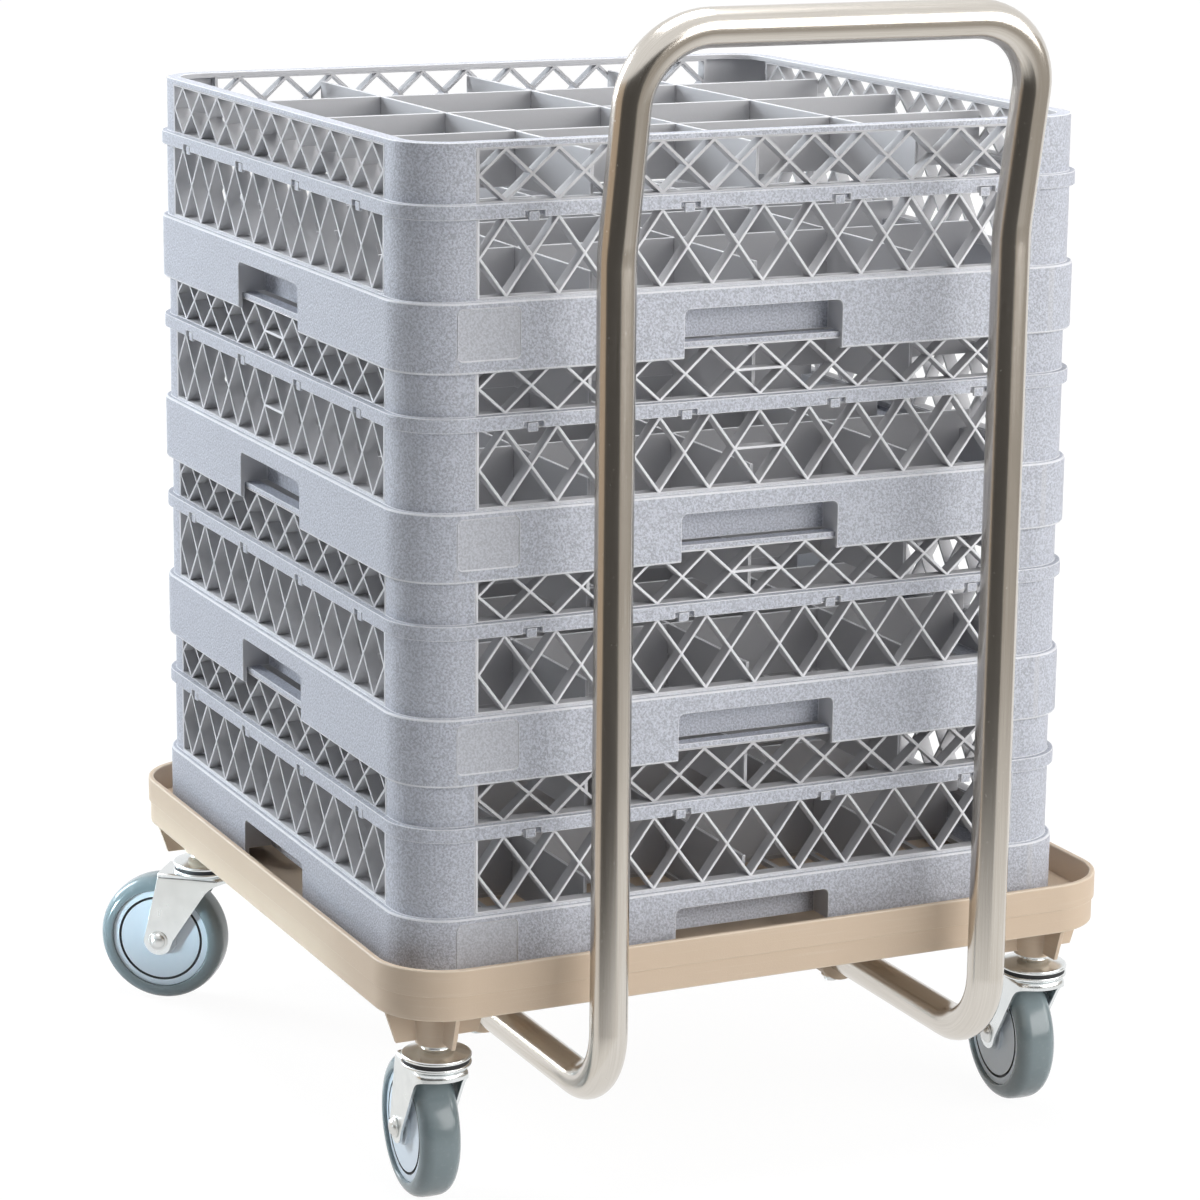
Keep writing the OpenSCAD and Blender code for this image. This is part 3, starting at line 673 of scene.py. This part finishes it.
tube.bend(-out, BEND_R, SQUARE, BEND_STEPS)
tube.straight(under_tray)
bmesh.ops.holes_fill(tube.bm, edges=[line for line in tube.bm.edges if line.is_boundary])
bmesh.ops.recalc_face_normals(tube.bm, faces=tube.bm.faces)
print("handle: %.2f m of tube, ends at" % tube.length, [round(c, 4) for c in tube.at])
make_piece(tube.bm, "push_handle", "dolly", handle_steel, "handle_legs", "handle_bow")

# %% [markdown]
# ## Screws of the handle
# Screws hold the ends of the tube in the tray. Their heads are small, so the solids are copied and their
# edges rounded.

# %% Socket screws
SCREW_ROUND = 0.6
bm = whole_copy("handle_screws")
print("handle screws:", round_edges(bm, SCREW_ROUND, 3), "edges rounded")
make_piece(bm, "socket_screws", "dolly", bolt_steel, "handle_screws")

# %% [markdown]
# ## Turned pieces of the casters
# Caps, wheels, tyres and bolts are all turned shapes: half of the outline, spun once about the axis. The
# corners of the outline are rounded afterwards, ring by ring. A turned piece is made about Z at the origin,
# keeps those coordinates as its own, and is then put where its caster is.

# %% Turning
RING_REACH = 0.05


def turned(outline, closed, steps):
    bm = bmesh.new()
    verts = [bm.verts.new((r * MM, 0.0, h * MM)) for r, h in outline]
    lines = [bm.edges.new(pair) for pair in zip(verts, verts[1:])]
    if closed:
        lines.append(bm.edges.new((verts[-1], verts[0])))
    bmesh.ops.spin(
        bm,
        geom=verts + lines,
        cent=(0, 0, 0),
        axis=(0, 0, 1),
        angle=2 * math.pi,
        steps=steps,
        use_merge=True,
    )
    bmesh.ops.remove_doubles(bm, verts=bm.verts, dist=0.001 * MM)
    bmesh.ops.recalc_face_normals(bm, faces=bm.faces)
    return bm


def at_ring(radius, height):
    def near(v):
        wide = abs(v.co.xy.length - radius * MM) < RING_REACH * MM
        return wide and abs(v.co.z - height * MM) < RING_REACH * MM

    return lambda line: all(near(v) for v in line.verts)


def put(bm, place):
    note = bm.verts.layers.float_vector.get("run") or bm.verts.layers.float_vector.new("run")
    for v in bm.verts:
        v[note] = v.co
    bmesh.ops.transform(bm, matrix=place, verts=bm.verts)
    return bm


print("turning helpers ready")

# %% [markdown]
# ## Where the casters stand
# The joints of the model say where each caster swivels and which way its axle points, so nothing has to be
# typed twice. A turned piece about Z is laid down so that its axis becomes the axle.

# %% Caster places
TRAIL, AXLE_Z = 32.0, 49.0
joints = {joint["name"]: joint for joint in frame["joints"]}
to_axle = Matrix.Translation((0.0, TRAIL * MM, AXLE_Z * MM))
lie_down = Matrix.Rotation(math.pi / 2, 4, "Y")
swivel_place, axle_place = {}, {}
for corner in ("fl", "fr", "rl", "rr"):
    pin = joints["swivel_" + corner]["pos_m"]
    axle = joints["roll_" + corner]["axis"]
    turn = Matrix.Rotation(math.atan2(axle[1], axle[0]), 4, "Z")
    swivel_place[corner] = Matrix.Translation((pin[0], pin[1], 0.0)) @ turn
    axle_place[corner] = swivel_place[corner] @ to_axle @ lie_down
    print(corner, "turned by %.0f degrees" % math.degrees(math.atan2(axle[1], axle[0])))

# %% [markdown]
# ## Wheels
# The tyre has round shoulders and a tread that is a touch fuller in the middle. The core has a hub, a flat
# disc and a ring groove, which the photograph shows as a dark line, so the faces of the groove are marked to
# be painted dark, a painted shade. The bush lines the hub, between the legs of the fork, and hardly shows.

# %% Wheel outlines
WHEEL_R, TREAD_R, RIM_R = 49.0, 48.4, 38.0
TYRE_HALF, DISC_HALF, RIM_HALF = 14.0, 12.0, 11.6
HUB_R, HUB_HALF = 13.0, 14.2
GROOVE_IN, GROOVE_OUT, GROOVE_HALF, GROOVE_MARK = 31.5, 33.1, 9.6, 0.2
BUSH_IN, BUSH_R, BUSH_HALF = 4.05, 7.0, 15.2
SHOULDER_ROUND, BEAD_ROUND, CORE_ROUND = 8.6, 1.0, 0.4
WHEEL_STEPS, BUSH_STEPS = 96, 40
TYRE = [
    (RIM_R, -TYRE_HALF),
    (TREAD_R, -TYRE_HALF),
    (WHEEL_R, 0),
    (TREAD_R, TYRE_HALF),
    (RIM_R, TYRE_HALF),
]
CORE_SIDE = [
    (BUSH_R, HUB_HALF),
    (HUB_R, HUB_HALF),
    (HUB_R, RIM_HALF),
    (GROOVE_IN, DISC_HALF),
    (GROOVE_IN, GROOVE_HALF),
    (GROOVE_OUT, GROOVE_HALF),
    (GROOVE_OUT, DISC_HALF),
    (RIM_R, RIM_HALF),
]
CORE = [(r, -h) for r, h in CORE_SIDE] + CORE_SIDE[::-1]
BUSH = [(BUSH_IN, -BUSH_HALF), (BUSH_R, -BUSH_HALF), (BUSH_R, BUSH_HALF), (BUSH_IN, BUSH_HALF)]
print("wheel outlines:", len(TYRE), len(CORE), len(BUSH), "points")

# %% Wheels
for corner, place in axle_place.items():
    body = "wheel_" + corner
    bm = turned(TYRE, True, WHEEL_STEPS)
    for side in (-TYRE_HALF, TYRE_HALF):
        round_edges(bm, SHOULDER_ROUND, 7, at_ring(TREAD_R, side), 0.0)
        round_edges(bm, BEAD_ROUND, 2, at_ring(RIM_R, side))
    make_piece(put(bm, place), "tyre_ring_" + corner, body, tyre, "tyre_" + corner)
    bm = turned(CORE, True, WHEEL_STEPS)
    round_edges(bm, CORE_ROUND)
    mark = edge_mark(bm)
    # groove faces are marked below zero, which the finish paints dark as painted shade
    for face in bm.faces:
        spread = face.calc_center_median().xy.length
        if (GROOVE_IN - GROOVE_MARK) * MM < spread < (GROOVE_OUT + GROOVE_MARK) * MM:
            face[mark] = -1.0
    make_piece(put(bm, place), "wheel_disc_" + corner, body, wheel_core, "wheel_core_" + corner)
    bm = turned(BUSH, True, BUSH_STEPS)
    round_edges(bm, CORE_ROUND)
    make_piece(put(bm, place), "axle_bush_" + corner, body, bush_plastic, "hub_bush_" + corner)
print("wheels:", len(axle_place))

# %% [markdown]
# ## Axle bolts and nuts
# The bolt's head is a low dome on a washer, so it is turned like the wheel. A nut has six flats, which a
# turn can't give: it keeps the shape of its solid, with its corners taken off.

# %% Axles
BOLT_DOME = [(0, -22.2), (2.6, -22.1), (4.6, -21.4), (5.7, -20.3), (6, -19.2)]
BOLT_WASHER = [(7.5, -19.2), (7.5, -18.2)]
BOLT_SHANK = [(4, -18.2), (4, 23.1), (3.4, 23.7), (0, 23.7)]
BOLT_ROUND, NUT_ROUND, BOLT_STEPS = 0.3, 0.5, 48
for corner, place in axle_place.items():
    body = "caster_" + corner
    bm = turned(BOLT_DOME + BOLT_WASHER + BOLT_SHANK, False, BOLT_STEPS)
    round_edges(bm, BOLT_ROUND)
    make_piece(put(bm, place), "axle_pin_" + corner, body, bolt_steel, "axle_bolt_" + corner)
    bm = whole_copy("axle_nut_" + corner)
    count = round_edges(bm, NUT_ROUND)
    make_piece(bm, "lock_nut_" + corner, body, bolt_steel, "axle_nut_" + corner)
print("axle nuts:", count, "edges rounded on each")

# %% [markdown]
# ## Swivel caps and seals
# The cap is a pressed cone on a short neck. Under it is the dark seal, which shows as a thin black line, and
# under that the flange of the fork, which turns with the wheel. All the caps are one piece of the dolly, so
# they are turned one by one and gathered.

# %% Swivel outlines
PIN_R, NECK_R, CAP_R = 6.0, 9.5, 23.5
CAP_TOP_Z, CAP_LOW_Z, NECK_Z = 110.6, 108.0, 114.0
STEM = [
    (0, 155.5),
    (PIN_R, 155.5),
    (PIN_R, 118),
    (NECK_R, 118),
    (NECK_R, NECK_Z),
    (12, NECK_Z),
    (CAP_R, CAP_TOP_Z),
    (CAP_R, CAP_LOW_Z),
    (PIN_R, CAP_LOW_Z),
    (PIN_R, 100.2),
    (10, 100.2),
    (10, 97.7),
    (0, 97.7),
]
SEAL_IN, SEAL_R, SEAL_LOW_Z, SEAL_TOP_Z = 13.0, 22.2, 105.4, 107.7
SEAL = [(SEAL_IN, SEAL_LOW_Z), (SEAL_R, SEAL_LOW_Z), (SEAL_R, SEAL_TOP_Z), (SEAL_IN, SEAL_TOP_Z)]
SEAL_ROUND, SWIVEL_STEPS = 0.4, 64
print("swivel outlines:", len(STEM), len(SEAL), "points")

# %% Swivels
def add_to(whole, bm):
    one = bpy.data.meshes.new("one")
    bm.to_mesh(one)
    bm.free()
    whole.from_mesh(one)
    bpy.data.meshes.remove(one)


stems = bmesh.new()
for corner, place in swivel_place.items():
    bm = turned(STEM, False, SWIVEL_STEPS)
    round_edges(bm, 1.2, 4, at_ring(CAP_R, CAP_TOP_Z))
    round_edges(bm, 0.9, 3, at_ring(CAP_R, CAP_LOW_Z))
    round_edges(bm, 1.5, 3, at_ring(NECK_R, NECK_Z))
    add_to(stems, put(bm, place))
    bm = turned(SEAL, True, SWIVEL_STEPS)
    round_edges(bm, SEAL_ROUND)
    body = "caster_" + corner
    make_piece(put(bm, place), "swivel_seal_" + corner, body, seal_black, "swivel_ring_" + corner)
make_piece(stems, "swivel_caps", "dolly", zinc_plate, "caster_stems")
print("swivel caps:", len(swivel_place))

# %% [markdown]
# ## Forks
# A fork is pressed from one sheet: a round front under the flange, wide soft shoulders, and two legs that
# lean back to the axle. Bevelling a box would not give those shoulders, so the sheet is laid out as a net.
# Its columns follow the fork as seen from above, from the middle of the front back along one leg; its rows
# climb from the lower edge over the shoulder to the middle of the crown. The other half is its mirror image,
# and the net is then given the thickness of the sheet.

# %% Fork net
FRONT_R, FRONT_ARC = 23.2, math.radians(44)
HALF, LEG_START_Y, TURN_Y = 18.2, -9.0, -14.6
LEG_END, APRON_Z, ARCH, SHEET = 11.5, 96.5, 20.0, 2.4
SHOULDER, SHOULDER_Z, CROWN_Y = 4.0, 98.8, -10.0
LEG_LEAN = math.radians(33.5)
FOOT_Y = TRAIL - LEG_END
APRON_END_Y = FOOT_Y - (APRON_Z - AXLE_Z) * math.tan(LEG_LEAN)
ARCH_Y = APRON_END_Y - ARCH * math.tan((math.pi / 2 - LEG_LEAN) / 2)
FRONT_STEPS, CURVE_STEPS, LEG_STEPS, END_STEPS = 8, 4, 14, 10
SIDE_ROWS, SHOULDER_ROWS = 8, 5


def lower_edge(y):
    """Height of the sheet's lower edge: level, round the arch, down the leg, round the axle."""
    if y < ARCH_Y:
        return APRON_Z
    if y > FOOT_Y:
        return AXLE_Z - math.sqrt(max(LEG_END ** 2 - (y - TRAIL) ** 2, 0.0))
    if y < ARCH_Y + ARCH * math.cos(LEG_LEAN):
        return min(APRON_Z - ARCH + math.sqrt(ARCH ** 2 - (y - ARCH_Y) ** 2), APRON_Z)
    return AXLE_Z + (FOOT_Y - y) / math.tan(LEG_LEAN)


def seen_from_above():
    """Points of one half of the fork's outline with their inward directions."""
    points = []
    for step in range(FRONT_STEPS + 1):
        angle = FRONT_ARC * step / FRONT_STEPS
        inward = Vector((math.sin(angle), math.cos(angle)))
        points.append((-inward * FRONT_R, inward))
    start, turn, end = points[-1][0], Vector((-HALF, TURN_Y)), Vector((-HALF, LEG_START_Y))
    for step in range(1, CURVE_STEPS + 1):
        s = step / CURVE_STEPS
        at = (1 - s) ** 2 * start + 2 * s * (1 - s) * turn + s ** 2 * end
        along = ((1 - s) * (turn - start) + s * (end - turn)).normalized()
        points.append((at, Vector((along.y, -along.x))))
    for step in range(1, LEG_STEPS + 1):
        y = LEG_START_Y + (TRAIL - LEG_START_Y) * step / LEG_STEPS
        points.append((Vector((-HALF, y)), Vector((1, 0))))
    for step in range(1, END_STEPS + 1):
        y = TRAIL + LEG_END * math.sin(math.pi / 2 * step / END_STEPS)
        points.append((Vector((-HALF, y)), Vector((1, 0))))
    return points


def fork_column(at, inward):
    low = lower_edge(at.y)
    behind = max(at.y - TRAIL, 0.0) / LEG_END
    top = SHOULDER_Z + (AXLE_Z - SHOULDER_Z) * behind
    heights = [low + (top - low) * row / SIDE_ROWS for row in range(SIDE_ROWS + 1)]
    column = [Vector((at.x, at.y, height)) for height in heights]
    if behind > 0:
        return column
    for row in range(1, SHOULDER_ROWS + 1):
        angle = math.pi / 2 * row / SHOULDER_ROWS
        spot = at + inward * SHOULDER * (1 - math.cos(angle))
        column.append(Vector((spot.x, spot.y, SHOULDER_Z + SHOULDER * math.sin(angle))))
    column.append(Vector((0.0, max(at.y, CROWN_Y), SHOULDER_Z + SHOULDER)))
    return column


print("fork net:", len(seen_from_above()), "columns")

# %% Forks
FLANGE_IN, FLANGE_R, FLANGE_LOW_Z, FLANGE_TOP_Z = 8.0, 23.5, 102.9, 105.4
FLANGE = [
    (FLANGE_IN, FLANGE_LOW_Z),
    (FLANGE_R, FLANGE_LOW_Z),
    (FLANGE_R, FLANGE_TOP_Z),
    (FLANGE_IN, FLANGE_TOP_Z),
]
FORK_ROUND, MERGE_REACH = 0.3, 0.02
for corner, place in swivel_place.items():
    bm = bmesh.new()
    net = [[bm.verts.new(co * MM) for co in fork_column(*point)] for point in seen_from_above()]
    for near, far in zip(net, net[1:]):
        for row in range(min(len(near), len(far)) - 1):
            bm.faces.new((near[row], far[row], far[row + 1], near[row + 1]))
    half = bm.verts[:] + bm.edges[:] + bm.faces[:]
    bmesh.ops.mirror(bm, geom=half, axis="X", merge_dist=MERGE_REACH * MM)
    bmesh.ops.remove_doubles(bm, verts=bm.verts, dist=MERGE_REACH * MM)
    bmesh.ops.dissolve_degenerate(bm, dist=0.005 * MM, edges=bm.edges)
    bmesh.ops.recalc_face_normals(bm, faces=bm.faces)
    bmesh.ops.solidify(bm, geom=bm.faces[:], thickness=SHEET * MM)
    bmesh.ops.recalc_face_normals(bm, faces=bm.faces)
    count = round_edges(bm, FORK_ROUND)
    flange = turned(FLANGE, True, SWIVEL_STEPS)
    round_edges(flange, 1.1, 4, at_ring(FLANGE_R, FLANGE_TOP_Z))
    round_edges(flange, 0.8, 3, at_ring(FLANGE_R, FLANGE_LOW_Z))
    add_to(bm, flange)
    make_piece(put(bm, place), "fork_press_" + corner, "caster_" + corner, zinc_plate, "fork_" + corner)
print("forks:", count, "edges rounded on each")

# %% [markdown]
# ## The white room
# The photograph is a product shot on white. A world that is white to the camera and in reflections, but weak
# as a light, keeps the background clean without washing out the shadows between the racks.

# %% World
WORLD_FILL = 0.14
world = bpy.data.worlds.new("studio")
bpy.context.scene.world = world
world.use_nodes = True
world.node_tree.nodes.clear()
wire = Wire(world.node_tree)
path = wire.node("ShaderNodeLightPath", {}, {}, out="Is Camera Ray")
glossy = Wire(wire.tree, path.socket.node.outputs["Is Glossy Ray"])
through = Wire(wire.tree, path.socket.node.outputs["Is Transmission Ray"])
soft = wire.node("ShaderNodeBackground", {}, {"Color": (0.93, 0.96, 1.0, 1), "Strength": WORLD_FILL})
white = wire.node("ShaderNodeBackground", {}, {"Color": (1, 1, 1, 1), "Strength": 1.0})
seen = wire.node("ShaderNodeMixShader", {}, {0: path + glossy + through, 1: soft, 2: white})
last = world.node_tree.nodes.new("ShaderNodeOutputWorld")
world.node_tree.links.new(seen.socket, last.inputs["Surface"])
print("world:", len(world.node_tree.nodes), "nodes")

# %% [markdown]
# ## The floor
# The camera looks down, so the floor is the whole background. To the camera and in reflections it mostly
# glows, a little whiter far off; the rest of it is matt and takes a faint shadow. To all other light it is
# plain matt grey, so its glow does not light the tray from below.

# %% Floor
FLOOR_HALF = 30.0
FLOOR_GREY = (0.60, 0.60, 0.60, 1)
FLOOR_NEAR = (0.950, 0.950, 0.950, 1)
FLOOR_GLOW, GLOW_SHARE = 1.14, 0.88
WHITER_FROM, WHITER_TO = 1.0, 3.5


def set_stage(name, bm, finish, reflections_only=False):
    mesh = bpy.data.meshes.new(name)
    bm.to_mesh(mesh)
    bm.free()
    mesh.materials.append(finish)
    thing = bpy.data.objects.new(name, mesh)
    bpy.context.scene.collection.objects.link(thing)
    if reflections_only:
        thing.visible_camera = False
        thing.visible_diffuse = False
        thing.visible_shadow = False


floor_white = bpy.data.materials.new("floor_white")
floor_white.use_nodes = True
floor_white.node_tree.nodes.clear()
wire = Wire(floor_white.node_tree)
path = wire.node("ShaderNodeLightPath", {}, {}, out="Is Camera Ray")
glossy = Wire(wire.tree, path.socket.node.outputs["Is Glossy Ray"])
matt = wire.node("ShaderNodeBsdfDiffuse", {}, {"Color": FLOOR_GREY})
away = wire.node("ShaderNodeVectorMath", {"operation": "LENGTH"}, {0: place_of(wire)}, out="Value")
white = wire.mix(FLOOR_NEAR, (1, 1, 1, 1), away.between(WHITER_FROM, WHITER_TO))
glow = wire.node("ShaderNodeEmission", {}, {"Color": white, "Strength": FLOOR_GLOW})
mixed = wire.node("ShaderNodeMixShader", {}, {0: GLOW_SHARE * (path + glossy), 1: matt, 2: glow})
last = floor_white.node_tree.nodes.new("ShaderNodeOutputMaterial")
floor_white.node_tree.links.new(mixed.socket, last.inputs["Surface"])
bm = bmesh.new()
bmesh.ops.create_grid(bm, x_segments=4, y_segments=4, size=FLOOR_HALF)
set_stage("floor", bm, floor_white)
print("floor: %.0f m square" % (2 * FLOOR_HALF))

# %% [markdown]
# ## The lamps
# One cool light stands on the left and behind, one very wide light on the right in front, and one above, so
# that the corner of the stack that faces the camera stays darker than both sides. A low strip light from the
# left, with a narrow beam, lifts the left side of the tray and the rear wheel.

# %% Lamps
STACK_MIDDLE = (0.0, 0.0, 0.42)
TRAY_LEFT = (-0.27, 0.30, 0.09)


def soft_lamp(name, at, size, watts, tint, aim=STACK_MIDDLE, spread=180.0):
    data = bpy.data.lights.new(name, "AREA")
    data.shape = "RECTANGLE"
    data.size = size[0]
    data.size_y = size[1]
    data.energy = watts
    data.color = tint
    data.spread = math.radians(spread)
    lamp = bpy.data.objects.new(name, data)
    turn = (Vector(aim) - Vector(at)).to_track_quat("-Z", "Y").to_matrix().to_4x4()
    lamp.matrix_world = Matrix.Translation(at) @ turn
    lamp.visible_camera = False
    bpy.context.scene.collection.objects.link(lamp)
    print(name + ":", watts, "W")


soft_lamp("left light", (-2.16, 2.76, 1.6), (1.3, 1.8), 122.0, (0.88, 0.94, 1.0))
soft_lamp("right light", (2.2, -3.0, 1.6), (4.0, 2.2), 138.0, (1.0, 0.99, 0.98))
soft_lamp("top light", (0.0, 0.2, 3.2), (2.0, 2.0), 80.0, (1.0, 1.0, 1.0))
soft_lamp("low light", (-1.5, 0.32, 0.09), (0.9, 0.08), 0.40, (0.66, 0.88, 1.0), TRAY_LEFT, 8.0)

# %% [markdown]
# ## Cards for the reflections
# A polished tube shows nothing but what stands round it, and an upright one shows mostly the floor. So the
# darker parts of the studio are laid round the handle as cards that only reflections see. Each is a sector
# of floor with a wall at its far end. It is pale near the handle and fades to its own tone further off, and
# that is why the legs of the handle are brighter at their feet.

# %% Reflection cards
CARD_MIDDLE = Vector((0.12, -0.30, 0.0))
CARD_PALE = (0.95, 0.94, 0.92, 1)
CARD_Z, CARD_REACH, CARD_WALL, CARD_STEPS = 0.002, 5.0, 1.7, 12
CARD_PROFILE = (
    (0.35, CARD_Z),
    (0.8, CARD_Z),
    (1.5, CARD_Z),
    (CARD_REACH, CARD_Z),
    (CARD_REACH, CARD_WALL),
)


def card_finish(name, fade, tone):
    finish = bpy.data.materials.new(name)
    finish.use_nodes = True
    finish.node_tree.nodes.clear()
    wire = Wire(finish.node_tree)
    inward = wire.node("ShaderNodeMapping", {}, {"Vector": place_of(wire), "Location": -CARD_MIDDLE})
    away = wire.node("ShaderNodeVectorMath", {"operation": "LENGTH"}, {0: inward}, out="Value")
    shade = wire.mix(CARD_PALE, tone, away.between(*fade))
    glow = wire.node("ShaderNodeEmission", {}, {"Color": shade, "Strength": 1.0})
    last = finish.node_tree.nodes.new("ShaderNodeOutputMaterial")
    finish.node_tree.links.new(glow.socket, last.inputs["Surface"])
    return finish


def studio_card(name, first, last, fade, tone):
    """A sector of floor and wall round the handle, seen only in reflections."""
    bm = bmesh.new()
    ray = Vector((math.cos(math.radians(first)), math.sin(math.radians(first)), 0.0))
    verts = [bm.verts.new(CARD_MIDDLE + ray * r + Vector((0, 0, h))) for r, h in CARD_PROFILE]
    lines = [bm.edges.new(pair) for pair in zip(verts, verts[1:])]
    bmesh.ops.spin(
        bm,
        geom=verts + lines,
        cent=CARD_MIDDLE,
        axis=(0, 0, 1),
        angle=math.radians(last - first),
        steps=CARD_STEPS,
    )
    set_stage(name, bm, card_finish(name, fade, tone), reflections_only=True)
    print(name + ": %d to %d degrees" % (first, last))


studio_card("dark_card", -178.0, -93.0, (0.40, 0.95), (0.085, 0.080, 0.074, 1))
studio_card("tan_card", 140.0, 182.0, (0.60, 1.50), (0.56, 0.45, 0.34, 1))
studio_card("warm_card", -93.0, 5.0, (0.60, 1.50), (0.43, 0.40, 0.36, 1))
